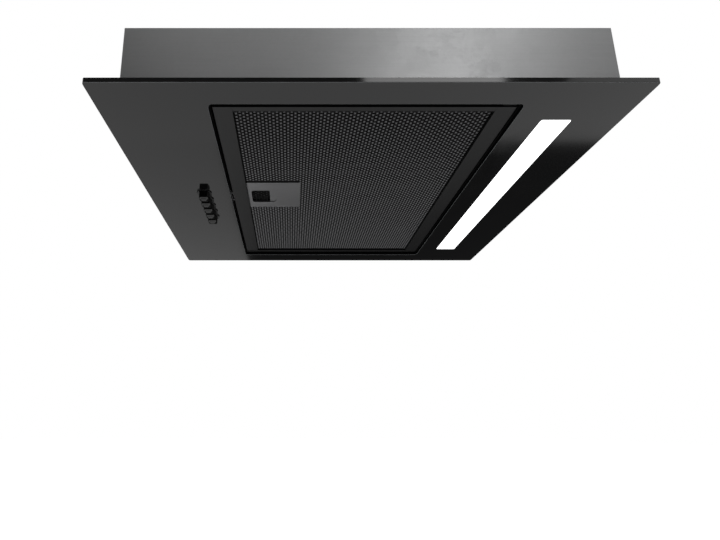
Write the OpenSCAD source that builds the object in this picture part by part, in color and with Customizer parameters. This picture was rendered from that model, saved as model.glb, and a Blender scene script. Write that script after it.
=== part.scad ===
// Built-in cooker hood for a wall cabinet: a black glass panel below the cabinet floor, a galvanised
// casing with its blower above it, a hinged grease filter, five push buttons and a light strip.
// Millimetres. +Z is up, +X runs towards the light, +Y towards the wall.
// The origin is the middle of the panel's upper face, which meets the underside of the cabinet.

/* [Panel] */
// Width of the glass panel
panel_w = 600; // [500:1:900]
// Depth of the glass panel, front to wall
panel_d = 300; // [250:1:400]
// Thickness of the glass
glass_t = 6; // [4:0.5:8]
// Thickness of the steel carrier bonded to the back of the glass
carrier_t = 1; // [0.8:0.1:2]
// Radius of the panel's corners
panel_r = 3; // [1:0.5:10]
// How far the carrier stops short of the edge of the glass
carrier_inset = 1.5; // [0.5:0.5:4]
// Solid band of panel left of the filter window
band_left = 124.5; // [110:0.5:150]
// Solid band of panel right of the filter window
band_right = 124.5; // [110:0.5:150]
// Solid band of panel in front of and behind the filter window
band_front = 19.5; // [15:0.5:40]
// Corner radius of the filter window
window_r = 4.5; // [2:0.5:10]
// Height of the upturned lip round the filter window
lip_h = 12; // [10:0.5:20]

/* [Casing] */
// Overhang of the panel past the casing at each side
side_set = 37; // [20:1:60]
// Overhang of the panel past the casing at the front
front_set = 4; // [2:0.5:20]
// Overhang of the panel past the casing at the back
back_set = 6; // [2:0.5:20]
// Height of the lower casing
lower_h = 70; // [50:1:100]
// Thickness of the galvanised sheet
sheet_t = 0.8; // [0.6:0.1:1.5]
// Outside radius of the folds in the sheet
bend_r = 2; // [1:0.5:4]
// Width of the flanges folded on the sheet
flange_w = 14; // [10:1:20]
// Radius of the screw shanks
screw_r = 1.9; // [1.5:0.1:2.5]

/* [Cabinet fixing] */
// Distance of the cabinet screw holes from the side edges of the panel
cab_hole_in = 19; // [12:1:25]
// Distance between the cabinet screw holes, front to back
cab_hole_pitch = 220; // [100:1:240]
// Radius of the cabinet screw holes
cab_hole_r = 2.25; // [2:0.05:3]
// Distance between the screw holes in each side wall
side_hole_pitch = 180; // [100:1:200]
// Height of the screw holes in the side walls
side_hole_z = 30; // [20:1:40]
// Radius of the screw holes in the side walls
side_hole_r = 2.5; // [2:0.1:3]

/* [Filter] */
// Gap left and right of the filter in its window
side_gap = 3.5; // [3:0.1:6]
// Gap in front of the filter
front_gap = 6; // [2:0.5:8]
// Gap behind the filter
back_gap = 2.5; // [2:0.5:8]
// Height of the filter's lower face above the underside of the glass
filter_rise = 5; // [4:0.5:14]
// Thickness of the filter frame
filter_t = 10.5; // [10:0.5:14]
// Depth of the fold that the mesh lies behind
fold_d = 2.8; // [1.2:0.1:3]
// Width of the frame's end caps
cap_w = 22; // [18:0.5:30]
// Width of the frame's front and back rails
rail_w = 4.5; // [4.5:0.5:12]
// Wall of the folded frame
frame_wall = 1.2; // [0.8:0.1:1.6]
// How deep the mesh sheets sit in the frame's channels
mesh_grip = 3; // [2:0.5:3]
// Thickness of the outer and inner mesh sheets
mesh_t = 1.5; // [1:0.1:2]
// Distance of the swing axis from the filter's right edge
pivot_in = 7; // [5:0.5:8]
// Radius of the pivot pins
pivot_r = 2; // [1.5:0.1:2.5]
// Running clearance of a pin in its hole, on the radius
pin_clear = 0.05; // [0.02:0.01:0.1]

/* [Latch] */
// Length of the latch plate along X
latch_w = 81; // [70:1:100]
// Width of the latch plate along Y
latch_d = 44; // [40:1:60]
// Offset of the latch from the filter's middle, front to wall
latch_shift = -5.5; // [-20:0.5:20]
// Length of the finger hole, with the thumb tab in it
hole_w = 39; // [34:1:45]
// Width of the finger hole
hole_d = 21; // [16:1:26]
// Distance of the finger hole from the plate's left end
hole_in = 6; // [5:0.5:10]
// Length of the thumb tab seen in the finger hole
tab_w = 11; // [8:0.5:14]
// Travel of the latch
latch_travel = 5; // [3:0.5:6]
// Width of the latch nose
nose_d = 10; // [6:0.5:14]
// How far the nose stands out of the filter's edge
nose_out = 1.7; // [1:0.1:2]

/* [Buttons] */
// Distance of the button row from the casing's left wall
button_in = 48.7; // [40:0.1:60]
// Offset of the middle of the button row from the panel's middle
button_y = 5; // [-40:1:40]
// Distance between neighbouring buttons
button_pitch = 11.4; // [11:0.1:16]
// Diameter of a button across its round ends
button_w = 15; // [12:0.5:20]
// Width of a button across its flats
button_d = 9.6; // [8:0.1:10]
// How far the buttons stand out below the glass
button_out = 13.5; // [8:0.5:18]
// Width of the bezel from tip to tip
bezel_w = 22.7; // [20:0.1:30]
// Thickness of the bezel below the glass
bezel_t = 1.6; // [1:0.1:3]
// Height of the switch bank
bank_h = 26; // [20:1:40]

/* [Light] */
// Distance of the middle of the light from the casing's right wall
led_in = 38; // [36:1:50]
// Offset of the light's middle from the panel's middle
led_y = -1; // [-20:1:20]
// Width of the light window
led_w = 35; // [20:1:45]
// Length of the light window
led_d = 228; // [150:1:240]
// Height of the light tray
tray_h = 14; // [10:1:30]

/* [Blower] */
// Diameter of the wheel
wheel_d = 100; // [84:1:124]
// Width of the wheel
wheel_w = 120; // [80:1:160]
// Number of blades
blades = 36; // [24:1:48]
// Gap between the wheel and the scroll at the tongue
wheel_clear = 6; // [4:1:10]
// Angle of the tongue above the horizontal
tongue_a = 51; // [45:1:60]
// Wall of the scroll
scroll_t = 2; // [1.5:0.1:3]
// Height of the gap between the filter and the scroll
floor_gap = 13.5; // [6:0.5:40]
// Height of the scroll's neck above the wheel
neck_h = 4; // [3:1:30]
// Room beside each air inlet of the scroll
inlet_room = 62; // [45:1:90]
// Diameter of the motor
motor_d = 68; // [50:1:74]
// Length of the motor
motor_l = 50; // [40:1:56]
// Radius of the motor shaft
shaft_r = 4; // [3:0.5:5]

/* [Outlet] */
// Outside diameter of the duct spigot
spigot_d = 119; // [99:1:149]
// Height of the duct spigot above its flange
spigot_h = 30; // [25:1:60]
// Wall of the spigot
spigot_t = 2; // [1.5:0.1:3]
// Radius of the pin that carries the check flaps
flap_pin_r = 1.5; // [1.2:0.1:2]
// Radius of the hole in the cable gland
gland_r = 4; // [3:0.5:5]

/* [Hidden] */
$fn = 96;
seat_gap = 0.3;          // clearance round a moving or dropped-in piece
eps = 0.01;              // overshoot of a cutting solid

glass_z = -carrier_t - glass_t;
window_w = panel_w - band_left - band_right;
window_d = panel_d - 2 * band_front;
window_x = (band_left - band_right) / 2;
window_l = window_x - window_w / 2;
window_rt = window_x + window_w / 2;

body_w = panel_w - 2 * side_set;
body_d = panel_d - front_set - back_set;
body_y = (front_set - back_set) / 2;
wall_x = body_w / 2;
wall_f = body_y - body_d / 2;
wall_b = body_y + body_d / 2;
end_in = 0.5;            // how far the end plates sit inside the folded wrap
foot_w = band_front - max(front_set, back_set) - carrier_t - 1;

filter_w = window_w - 2 * side_gap;
filter_d = window_d - front_gap - back_gap;
filter_y = (front_gap - back_gap) / 2;
filter_l = window_x - filter_w / 2;
filter_rt = window_x + filter_w / 2;
filter_z = glass_z + filter_rise;
filter_top = filter_z + filter_t;
pivot_x = filter_rt - pivot_in;
pivot_z = filter_top - frame_wall - pivot_r;
slot_z = filter_z + fold_d;
slot_h = filter_t - fold_d - frame_wall;
mesh_l = filter_l + cap_w - mesh_grip;
mesh_rt = filter_rt - cap_w + mesh_grip;
mesh_y = filter_d / 2 - rail_w + mesh_grip;
sheet_clear = 0.1;       // play of the mesh sheets in the frame
core_z = slot_z + sheet_clear + mesh_t + 0.1;
core_h = slot_h - 2 * sheet_clear - 2 * mesh_t - 0.2;

latch_l = filter_l + cap_w;
latch_rt = latch_l + latch_w;
latch_z = slot_z + 0.7;
latch_t = 1.2;
latch_y = latch_d / 2;
latch_c = filter_y + latch_shift;
cup_wall = 1;
tab_z = latch_z + latch_t + 0.2;
tab_t = 1.2;
hole_l = latch_l + hole_in;
hole_rt = hole_l + hole_w;
hole_y = 2;              // the finger hole sits this far behind the plate's middle
tab_l = hole_rt - tab_w;
slider_rt = hole_rt + latch_travel + 9;
slider_d = hole_d + 6;
nose_h = 2.4;

led_x = wall_x - led_in;
led_flange = 3;
tray_lip = 2.5;
lead_x = 8;
lead_in = 20;
button_x = button_in - wall_x;
button_n = 5;
row_l = (button_n - 1) * button_pitch;
slot_w = button_w + 3.2;
slot_d = row_l + button_d + 3.2;
flange_z = 2.3;
flange_t = 1.2;
stem_r = 1.9;
bank_w = slot_w + 5;
bank_d = slot_d + 5;
bank_t = 1.6;
spring_wire = 0.35;

wheel_r = wheel_d / 2;
spigot_r = spigot_d / 2;
mouth_d = 2 * (spigot_r - spigot_t);
scroll_r0 = wheel_r + wheel_clear;
scroll_r1 = mouth_d - scroll_r0 * cos(tongue_a);
function scroll_r(a) = scroll_r0 + (scroll_r1 - scroll_r0) * (tongue_a - a) / (tongue_a + 180);
fan_z = filter_top + floor_gap + scroll_t + scroll_r(-90);
fan_y = scroll_r1 - mouth_d / 2;
house_top = fan_z + scroll_r0 + neck_h;
scroll_w = wheel_w + 2 * wheel_clear;
scroll_x = scroll_w / 2 + scroll_t;
inlet_r = wheel_r - 7;
house_w = 2 * (scroll_x + inlet_room);
house_f = -max(mouth_d / 2 + 12, spigot_r + 16) - 18;
house_b = fan_y + scroll_r(0) + scroll_t + 18;
house_y = (house_f + house_b) / 2;
house_d = house_b - house_f;
plate_top = house_top + sheet_t;
spigot_flange_r = spigot_r + 12;
spigot_flange_t = 2;
spigot_z = plate_top + spigot_flange_t;
spigot_top = spigot_z + spigot_h;
flap_z = spigot_z + 8;
flap_r = spigot_r - spigot_t - 0.7;
flap_t = 1.5;
knuckle_r = flap_pin_r + 1.2;
motor_x = -motor_l / 2 - 7;
bracket_x = -scroll_x - 3.5;
bush_r = inlet_r + 11;

// Electrical pieces, each at its own place in the casing
term_x = -wall_x + 48;
term_y = wall_b - 62;
term_w = 60;
term_d = 84;
term_h = 34;
cap_r = 15;
cap_l = 52;
gland_x = term_x;
gland_y = term_y;
driver_w = 32;
driver_d = 110;
driver_h = 22;
driver_z = lower_h - sheet_t - driver_h - 1;
cable_r = 2.6;
motor_lead_r = 2;
loom_z = lower_h - sheet_t - 17;
loom_y = term_y - term_d / 2 + 14;
loom_x = term_x + term_w / 2 + 7;
clip_z = 52;
clip_screw_y = 16;
clip_d = 46;
clip_t = 1;
clip_out = 15;

// ---------------------------------------------------------------- shared shapes

// A box between two corners.
module block(x0, x1, y0, y1, z0, z1) {
    translate([x0, y0, z0]) cube([x1 - x0, y1 - y0, z1 - z0]);
}

// A flat rectangle with round corners, centred.
module rounded(w, d, r) {
    square([w - 2 * r, d], center = true);
    square([w, d - 2 * r], center = true);
    for (sx = [-1, 1], sy = [-1, 1])
        translate([sx * (w / 2 - r), sy * (d / 2 - r)]) circle(r);
}

// A plate with round corners from z0 to z1.
module plate(w, d, r, z0, z1) {
    translate([0, 0, z0]) linear_extrude(z1 - z0) rounded(w, d, r);
}

// A ring on the X axis from x0 to x1.
module ring_x(r_out, r_in, x0, x1) {
    translate([x0, 0, 0]) rotate([0, 90, 0]) difference() {
        cylinder(r = r_out, h = x1 - x0);
        translate([0, 0, -eps]) cylinder(r = r_in, h = x1 - x0 + 2 * eps);
    }
}

// A pan-headed screw that points down, its head resting at z = 0.
module screw(shank = 6, r = screw_r) {
    translate([0, 0, -shank]) cylinder(r = r, h = shank, $fn = 32);
    difference() {
        cylinder(r = 2 * r, h = 1.1 * r, $fn = 48);
        translate([0, 0, 0.5 * r]) cube([2.4 * r, 0.5 * r, 1.4 * r], center = true);
        translate([0, 0, 0.5 * r]) cube([0.5 * r, 2.4 * r, 1.4 * r], center = true);
    }
}

// A wire bent along straight legs, with ball corners.
module wire(points, r) {
    for (i = [0 : len(points) - 2]) {
        v = points[i + 1] - points[i];
        translate(points[i])
            rotate([0, acos(v.z / norm(v)), atan2(v.y, v.x)])
            cylinder(r = r, h = norm(v), $fn = 24);
    }
    for (i = [1 : len(points) - 2])
        translate(points[i]) sphere(r, $fn = 24);
}

// A coil of round wire standing on z = 0: a hexagonal section swept along a helix.
module coil(r, h, turns, wire_r, steps = 14) {
    n = turns * steps;
    lift = h - 2 * wire_r;
    points = [
        for (i = [0 : n], k = [0 : 5])
            let (a = 360 * i / steps, s = r + wire_r * cos(60 * k))
            [s * cos(a), s * sin(a), wire_r + lift * i / n + wire_r * sin(60 * k)]
    ];
    lower = [
        for (i = [0 : n - 1], k = [0 : 5]) [6 * i + k, 6 * i + (k + 1) % 6, 6 * i + 6 + (k + 1) % 6]
    ];
    upper = [
        for (i = [0 : n - 1], k = [0 : 5]) [6 * i + k, 6 * i + 6 + (k + 1) % 6, 6 * i + 6 + k]
    ];
    ends = [[5, 4, 3, 2, 1, 0], [for (k = [0 : 5]) 6 * n + k]];
    polyhedron(points, concat(ends, lower, upper), convexity = 6);
}

// Places of the screws that hold the casing's flanges to the carrier.
function casing_screw_places() = [
    for (sx = [-1, 1], sy = [-0.6, 0, 0.6]) [sx * (wall_x - end_in - flange_w / 2), body_y + sy * body_d / 2]
];

// Places of the screws that hold the upper housing to the casing.
function housing_screw_places() = [
    for (sx = [-1, 1], sy = [-1, 1])
        [sx * (house_w / 2 + flange_w / 2), house_y + sy * house_d / 4]
];

// Places of the screws that hold the spigot to the housing.
function spigot_screw_places() = [
    for (a = [45 : 90 : 315]) (spigot_r + 6.5) * [cos(a), sin(a)]
];

// Holes for screws at the given places, cut down the whole height.
module screw_holes(places, r = screw_r + 0.2) {
    for (p = places)
        translate([p.x, p.y, -20]) cylinder(r = r, h = 400, $fn = 32);
}

// ---------------------------------------------------------------- panel

module filter_window(z0, z1, grow = 0) {
    translate([window_x, 0, 0])
        plate(window_w + 2 * grow, window_d + 2 * grow, window_r + grow, z0, z1);
}

module glass_panel() {
    color([0.03, 0.03, 0.035]) difference() {
        plate(panel_w, panel_d, panel_r, glass_z, -carrier_t);
        filter_window(glass_z - 1, 1);
        translate([led_x, led_y, 0])
            plate(led_w + seat_gap, led_d + seat_gap, 2, glass_z - 1, 1);
        translate([button_x, button_y, 0])
            plate(slot_w + seat_gap, slot_d + seat_gap, 3, glass_z - 1, 1);
    }
}

module panel_carrier() {
    color([0.1, 0.1, 0.11]) difference() {
        union() {
            plate(panel_w - 2 * carrier_inset, panel_d - 2 * carrier_inset, panel_r, -carrier_t, 0);
            filter_window(-carrier_t, lip_h, carrier_t);
        }
        filter_window(-carrier_t - 1, lip_h + 1);
        translate([led_x, led_y, 0])
            plate(led_w + 2 * led_flange + seat_gap, led_d + 2 * led_flange + seat_gap, 3, -2, 1);
        translate([button_x, button_y, 0])
            plate(slot_w + seat_gap, slot_d + seat_gap, 3, -2, 1);
        for (sx = [-1, 1], sy = [-1, 1])
            translate([sx * (panel_w / 2 - cab_hole_in), sy * cab_hole_pitch / 2, -2])
                cylinder(r = cab_hole_r, h = 4);
        screw_holes(casing_screw_places());
    }
}

// ---------------------------------------------------------------- casing

// Section of the folded wrap, front to back: two walls, the top and two bottom flanges.
module wrap_section() {
    difference() {
        union() {
            translate([body_y, (lower_h - bend_r) / 2])
                square([body_d, lower_h - bend_r], center = true);
            translate([body_y, lower_h - bend_r])
                rounded(body_d, 2 * bend_r, bend_r - eps);
        }
        difference() {
            translate([body_y, lower_h / 2 - 1])
                square([body_d - 2 * sheet_t, lower_h - 2 * sheet_t + 2], center = true);
            for (s = [-1, 1])
                translate([body_y + s * (body_d / 2 - sheet_t), lower_h - sheet_t])
                    difference() {
                        square(2 * (bend_r - sheet_t), center = true);
                        translate(-[s, 1] * (bend_r - sheet_t)) circle(bend_r - sheet_t);
                    }
        }
    }
    for (s = [-1, 1])
        translate([body_y + s * (body_d - foot_w) / 2, sheet_t / 2])
            square([foot_w, sheet_t], center = true);
}

module casing_wrap() {
    color([0.62, 0.63, 0.64]) difference() {
        translate([-wall_x, 0, 0]) rotate([90, 0, 90]) linear_extrude(body_w) wrap_section();
        block(-house_w / 2, house_w / 2, house_f, house_b, lower_h - 3, lower_h + 1);
        screw_holes(housing_screw_places());
        translate([gland_x, gland_y, lower_h - 3]) cylinder(r = gland_r + 4.2, h = 5);
    }
}

// One end plate with its flanges, for the right-hand end.
module end_plate() {
    x1 = wall_x - end_in;
    x0 = x1 - sheet_t;
    f = wall_f + sheet_t;
    b = wall_b - sheet_t;
    top = lower_h - sheet_t;
    difference() {
        union() {
            block(x0, x1, f, b, sheet_t, top - bend_r);
            block(x0, x1, f + bend_r, b - bend_r, sheet_t, top);
            block(x1 - flange_w, x1, f, f + sheet_t, sheet_t, top - bend_r);
            block(x1 - flange_w, x1, b - sheet_t, b, sheet_t, top - bend_r);
            block(x1 - flange_w, x1, f + bend_r, b - bend_r, top - sheet_t, top);
            block(x1 - flange_w, x1, f + foot_w, b - foot_w, 0, sheet_t);
            block(x0, x1, f + foot_w, b - foot_w, 0, sheet_t + 1);
        }
        for (s = [-1, 1])
            translate([x0 - 5, body_y + s * side_hole_pitch / 2, side_hole_z])
                rotate([0, 90, 0]) cylinder(r = side_hole_r, h = 20);
        for (s = [-1, 1])
            translate([x0 - 5, body_y + s * clip_screw_y, clip_z])
                rotate([0, 90, 0]) cylinder(r = screw_r + 0.2, h = 20, $fn = 32);
        screw_holes(casing_screw_places());
    }
}

module end_plate_left() {
    color([0.62, 0.63, 0.64]) mirror([1, 0, 0]) end_plate();
}

module end_plate_right() {
    color([0.62, 0.63, 0.64]) end_plate();
}

module upper_housing() {
    x = house_w / 2;
    color([0.6, 0.61, 0.62]) difference() {
        union() {
            block(-x - flange_w, x + flange_w, house_f - flange_w, house_b + flange_w,
                lower_h, lower_h + sheet_t);
            translate([0, house_y, 0])
                plate(house_w, house_d, bend_r, lower_h, plate_top);
        }
        translate([0, house_y, 0])
            plate(house_w - 2 * sheet_t, house_d - 2 * sheet_t, bend_r - sheet_t, lower_h - 1, house_top);
        translate([0, 0, house_top - 1]) cylinder(r = mouth_d / 2, h = 5);
        for (p = housing_screw_places())
            translate([p.x, p.y, lower_h - 1]) cylinder(r = screw_r + 0.2, h = 4, $fn = 32);
        for (p = spigot_screw_places())
            translate([p.x, p.y, house_top - 1]) cylinder(r = screw_r + 0.2, h = 4, $fn = 32);
    }
}

module casing_screws() {
    color([0.75, 0.75, 0.76])
        for (p = casing_screw_places()) translate([p.x, p.y, sheet_t]) screw(sheet_t + carrier_t - 0.1);
}

module housing_screws() {
    color([0.75, 0.75, 0.76])
        for (p = housing_screw_places()) translate([p.x, p.y, lower_h + sheet_t]) screw(5);
}

// Side spring clips that grip the cabinet floor: a leaf screwed to the end plate, bent out and down.
module clip_section() {
    x = wall_x - end_in;
    polygon([
        [x, clip_z + 8],
        [x + clip_t, clip_z + 8],
        [x + clip_t, clip_z - 8],
        [x + clip_out, clip_z - 28],
        [x + clip_out - 3, clip_z - 34],
        [x + clip_out - 4.2, clip_z - 33.4],
        [x + clip_out - 1.3, clip_z - 28],
        [x, clip_z - 9]
    ]);
}

module retaining_clip() {
    difference() {
        translate([0, body_y + clip_d / 2, 0]) rotate([90, 0, 0]) linear_extrude(clip_d) clip_section();
        for (s = [-1, 1])
            translate([wall_x - 5, body_y + s * clip_screw_y, clip_z])
                rotate([0, 90, 0]) cylinder(r = screw_r + 0.2, h = 10, $fn = 32);
    }
}

module retaining_clip_left() {
    color([0.55, 0.55, 0.56]) mirror([1, 0, 0]) retaining_clip();
}

module retaining_clip_right() {
    color([0.55, 0.55, 0.56]) retaining_clip();
}

module clip_screws() {
    color([0.75, 0.75, 0.76])
        for (m = [0, 1], s = [-1, 1])
            mirror([m, 0, 0]) translate([wall_x - end_in + clip_t, body_y + s * clip_screw_y, clip_z])
                rotate([0, 90, 0]) screw(5);
}

// ---------------------------------------------------------------- outlet

module outlet_spigot() {
    color([0.12, 0.12, 0.13]) difference() {
        union() {
            translate([0, 0, plate_top]) cylinder(r = spigot_flange_r, h = spigot_flange_t);
            translate([0, 0, plate_top]) cylinder(r = spigot_r, h = spigot_top - plate_top);
        }
        translate([0, 0, plate_top - 1]) cylinder(r = spigot_r - spigot_t - 2, h = 60);
        translate([0, 0, flap_z - flap_t / 2 - 0.1]) cylinder(r = spigot_r - spigot_t, h = 60);
        translate([0, 0, flap_z]) rotate([0, 90, 0])
            cylinder(r = flap_pin_r, h = 2 * (spigot_r - 0.8), center = true, $fn = 48);
        for (p = spigot_screw_places())
            translate([p.x, p.y, plate_top - 1]) cylinder(r = screw_r + 0.2, h = 5, $fn = 32);
    }
}

module spigot_screws() {
    color([0.75, 0.75, 0.76])
        for (p = spigot_screw_places()) translate([p.x, p.y, spigot_z]) screw(5);
}

module flap_pin() {
    color([0.8, 0.8, 0.82]) translate([0, 0, flap_z]) rotate([0, 90, 0])
        cylinder(r = flap_pin_r, h = 2 * (spigot_r - 0.8), center = true, $fn = 48);
}

// A half-disc flap on the +Y side. Its knuckles take every other stretch of the pin.
module check_flap() {
    knuckle_l = 2 * flap_r / 6 - 1;
    starts = [for (i = [first : 2 : 5]) -flap_r + i * 2 * flap_r / 6 + 0.5];
    difference() {
        union() {
            intersection() {
                cylinder(r = flap_r, h = flap_t, center = true);
                block(-flap_r, flap_r, knuckle_r + 0.6, flap_r, -1, 1);
            }
            for (x = starts) {
                translate([max(x, -flap_r + 2), 0, 0]) rotate([0, 90, 0])
                    cylinder(r = knuckle_r, h = knuckle_l - 2, $fn = 48);
                block(max(x, -flap_r + 2), max(x, -flap_r + 2) + knuckle_l - 2,
                    0, knuckle_r + 1, -flap_t / 2, flap_t / 2);
            }
        }
        rotate([0, 90, 0])
            cylinder(r = flap_pin_r + pin_clear, h = 2 * flap_r + 2, center = true, $fn = 48);
    }
}

module check_flap_back() {
    color([0.2, 0.2, 0.21]) translate([0, 0, flap_z]) check_flap();
}

module check_flap_front() {
    color([0.2, 0.2, 0.21]) translate([0, 0, flap_z]) rotate([0, 0, 180]) check_flap();
}

// ---------------------------------------------------------------- blower

// Outline of the scroll, seen along X from the fan axis. grow is the wall outside it.
module scroll_outline(grow) {
    start = scroll_r(tongue_a) + grow;
    v = scroll_r0 + neck_h;
    spiral = [
        for (i = [0 : 48])
            let (a = tongue_a - (tongue_a + 180) * i / 48, r = scroll_r(a) + grow)
            [r * cos(a), r * sin(a)]
    ];
    polygon(concat(
        [[-scroll_r1 - grow, v], [-scroll_r1 + mouth_d + grow, v]],
        [[-scroll_r1 + mouth_d + grow, max(start * sin(tongue_a), 1)]],
        spiral
    ));
}

// Stands the outline across the fan axis, from x0 to x1.
module scroll_extrude(grow, x0, x1) {
    translate([x0, fan_y, fan_z]) rotate([90, 0, 90]) linear_extrude(x1 - x0) scroll_outline(grow);
}

module scroll_half() {
    difference() {
        union() {
            scroll_extrude(scroll_t, 0, scroll_x);
            block(0, scroll_x + 7, -mouth_d / 2 - 9, mouth_d / 2 + 9, house_top - 2, house_top);
        }
        scroll_extrude(0, -1, scroll_x - scroll_t);
        block(-1, scroll_x - scroll_t, -mouth_d / 2, mouth_d / 2, house_top - 5, house_top + 1);
        translate([scroll_x - 10, fan_y, fan_z]) rotate([0, 90, 0]) cylinder(r = inlet_r, h = 20);
    }
}

module scroll_left() {
    color([0.7, 0.71, 0.72]) mirror([1, 0, 0]) scroll_half();
}

module scroll_right() {
    color([0.7, 0.71, 0.72]) scroll_half();
}

// Bell mouth of an air inlet, screwed on the scroll's side.
module inlet_ring() {
    translate([scroll_x, fan_y, fan_z]) rotate([0, 90, 0]) rotate_extrude() difference() {
        translate([inlet_r, 0]) square([6, 3]);
        translate([inlet_r - 0.5, 3.5]) circle(3, $fn = 48);
    }
}

module inlet_rings() {
    color([0.25, 0.25, 0.26]) for (m = [0, 1]) mirror([m, 0, 0]) inlet_ring();
}

module impeller() {
    blade_in = wheel_r - 9;
    color([0.16, 0.16, 0.17]) translate([0, fan_y, fan_z]) {
        ring_x(wheel_r - 0.5, shaft_r, -1.5, 1.5);
        ring_x(shaft_r + 5, shaft_r, -5, 12);
        for (s = [-1, 1])
            ring_x(wheel_r, blade_in + 1.5, s * (wheel_w / 2 - 1.5) - 1.5, s * (wheel_w / 2 - 1.5) + 1.5);
        for (i = [0 : blades - 1])
            rotate([360 * i / blades, 0, 0]) translate([-wheel_w / 2 + 1, 0, 0])
                rotate([90, 0, 90]) linear_extrude(wheel_w - 2)
                polygon([[blade_in, 0], [blade_in, 1.1], [wheel_r - 3, 4], [wheel_r - 0.4, 4.6],
                    [wheel_r - 0.4, 3.4], [wheel_r - 3, 2.9]]);
    }
}

module motor_shaft() {
    color([0.8, 0.8, 0.82]) translate([0, fan_y, fan_z])
        ring_x(shaft_r, 0.6, motor_x - motor_l / 2 - 6, 16);
}

module motor() {
    hub_r = shaft_r + 3;
    color([0.5, 0.5, 0.52]) translate([0, fan_y, fan_z]) difference() {
        union() {
            ring_x(motor_d / 2, hub_r, motor_x - motor_l / 2 + 6, motor_x + motor_l / 2 - 6);
            ring_x(motor_d / 2 - 5, hub_r, motor_x - motor_l / 2, motor_x + motor_l / 2);
            ring_x(motor_d / 2 - 14, hub_r, bracket_x, motor_x - motor_l / 2 + 1);
        }
        for (a = [0 : 60 : 300])
            rotate([a, 0, 0]) translate([motor_x + motor_l / 2 - 4, 0, motor_d / 2 - 14])
                rotate([0, 90, 0]) cylinder(r = 3.5, h = 5);
    }
}

module motor_bearings() {
    color([0.72, 0.55, 0.3]) translate([0, fan_y, fan_z])
        for (s = [-1, 1])
            ring_x(shaft_r + 3, shaft_r + pin_clear,
                motor_x + s * (motor_l / 2 - 5) - 5, motor_x + s * (motor_l / 2 - 5) + 5);
}

module motor_bracket() {
    x0 = bracket_x - 1.5;
    color([0.58, 0.59, 0.6]) translate([0, fan_y, fan_z]) {
        ring_x(motor_d / 2 - 11, shaft_r + 4, x0, bracket_x);
        for (a = [90, 210, 330])
            rotate([a, 0, 0]) difference() {
                block(x0, bracket_x, -7, 7, motor_d / 2 - 14, bush_r + 6);
                translate([x0 - 1, 0, bush_r]) rotate([0, 90, 0]) cylinder(r = 2, h = 4, $fn = 32);
            }
    }
}

module motor_bushes() {
    color([0.08, 0.08, 0.08]) translate([0, fan_y, fan_z])
        for (a = [90, 210, 330])
            rotate([a, 0, 0]) translate([0, 0, bush_r]) ring_x(5, 2, bracket_x, -scroll_x);
}

// ---------------------------------------------------------------- electrical pieces

module capacitor() {
    color([0.75, 0.76, 0.78])
        translate([scroll_x + 30, house_f + cap_r + 14, lower_h + 4]) cylinder(r = cap_r, h = cap_l);
}

module capacitor_clip() {
    color([0.12, 0.12, 0.12]) translate([scroll_x + 30, house_f + cap_r + 14, 0]) difference() {
        union() {
            translate([0, 0, lower_h + 22]) cylinder(r = cap_r + 2, h = 10);
            block(-9, 9, -cap_r - 14 + sheet_t, -cap_r - 1, lower_h + 22, lower_h + 32);
        }
        translate([0, 0, lower_h + 20]) cylinder(r = cap_r, h = 14);
        block(-5, 5, 0, cap_r + 4, lower_h + 20, lower_h + 34);
    }
}

module terminal_box() {
    z1 = lower_h - sheet_t;
    color([0.14, 0.14, 0.15]) translate([term_x, term_y, 0]) difference() {
        plate(term_w, term_d, 4, z1 - term_h, z1);
        plate(term_w - 4, term_d - 4, 2, z1 - term_h - 1, z1 - 2);
        translate([0, 0, z1 - 5]) cylinder(r = gland_r + 4.2, h = 8);
        translate([-term_w / 2 - 2, loom_y - term_y, loom_z]) rotate([0, 90, 0])
            cylinder(r = cable_r + 0.2, h = term_w + 4, $fn = 32);
        translate([0, loom_y - term_y - 8, loom_z]) rotate([0, 90, 0])
            cylinder(r = motor_lead_r + 0.2, h = term_w, $fn = 32);
    }
}

module terminal_box_lid() {
    z1 = lower_h - sheet_t - term_h;
    color([0.16, 0.16, 0.17]) translate([term_x, term_y, 0]) {
        plate(term_w, term_d, 4, z1 - 2, z1);
        plate(term_w - 4.4, term_d - 4.4, 2, z1, z1 + 2);
    }
}

module terminal_block() {
    z1 = lower_h - sheet_t - 2;
    color([0.85, 0.85, 0.82]) difference() {
        block(term_x - 8, term_x + 8, term_y + 12, term_y + 36, z1 - 14, z1);
        for (i = [0 : 2])
            translate([term_x, term_y + 16 + 8 * i, z1 - 15]) cylinder(r = 2, h = 9, $fn = 32);
    }
}

module cable_gland() {
    color([0.1, 0.1, 0.1]) translate([gland_x, gland_y, 0]) difference() {
        union() {
            translate([0, 0, lower_h]) cylinder(r = gland_r + 7, h = 4, $fn = 6);
            translate([0, 0, lower_h + 4]) cylinder(r = gland_r + 4, h = 10);
            translate([0, 0, lower_h - 12]) cylinder(r = gland_r + 4, h = 12);
        }
        translate([0, 0, lower_h - 13]) cylinder(r = gland_r, h = 30);
    }
}

module gland_nut() {
    z1 = lower_h - sheet_t - 2;
    color([0.12, 0.12, 0.12]) translate([gland_x, gland_y, z1 - 4]) difference() {
        cylinder(r = gland_r + 7, h = 4, $fn = 6);
        translate([0, 0, -1]) cylinder(r = gland_r + 4, h = 6);
    }
}

module led_driver() {
    x1 = led_x;
    color([0.9, 0.9, 0.88]) difference() {
        block(x1 - driver_w / 2, x1 + driver_w / 2, led_y - driver_d / 2, led_y + driver_d / 2,
            driver_z, driver_z + driver_h + 1);
        for (s = [-1, 1], t = [-1, 1])
            translate([x1 + t * (driver_w / 2 - 4), led_y + s * (driver_d / 2 - 4), driver_z - 1])
                cylinder(r = 1.6, h = 4, $fn = 32);
    }
}

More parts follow.
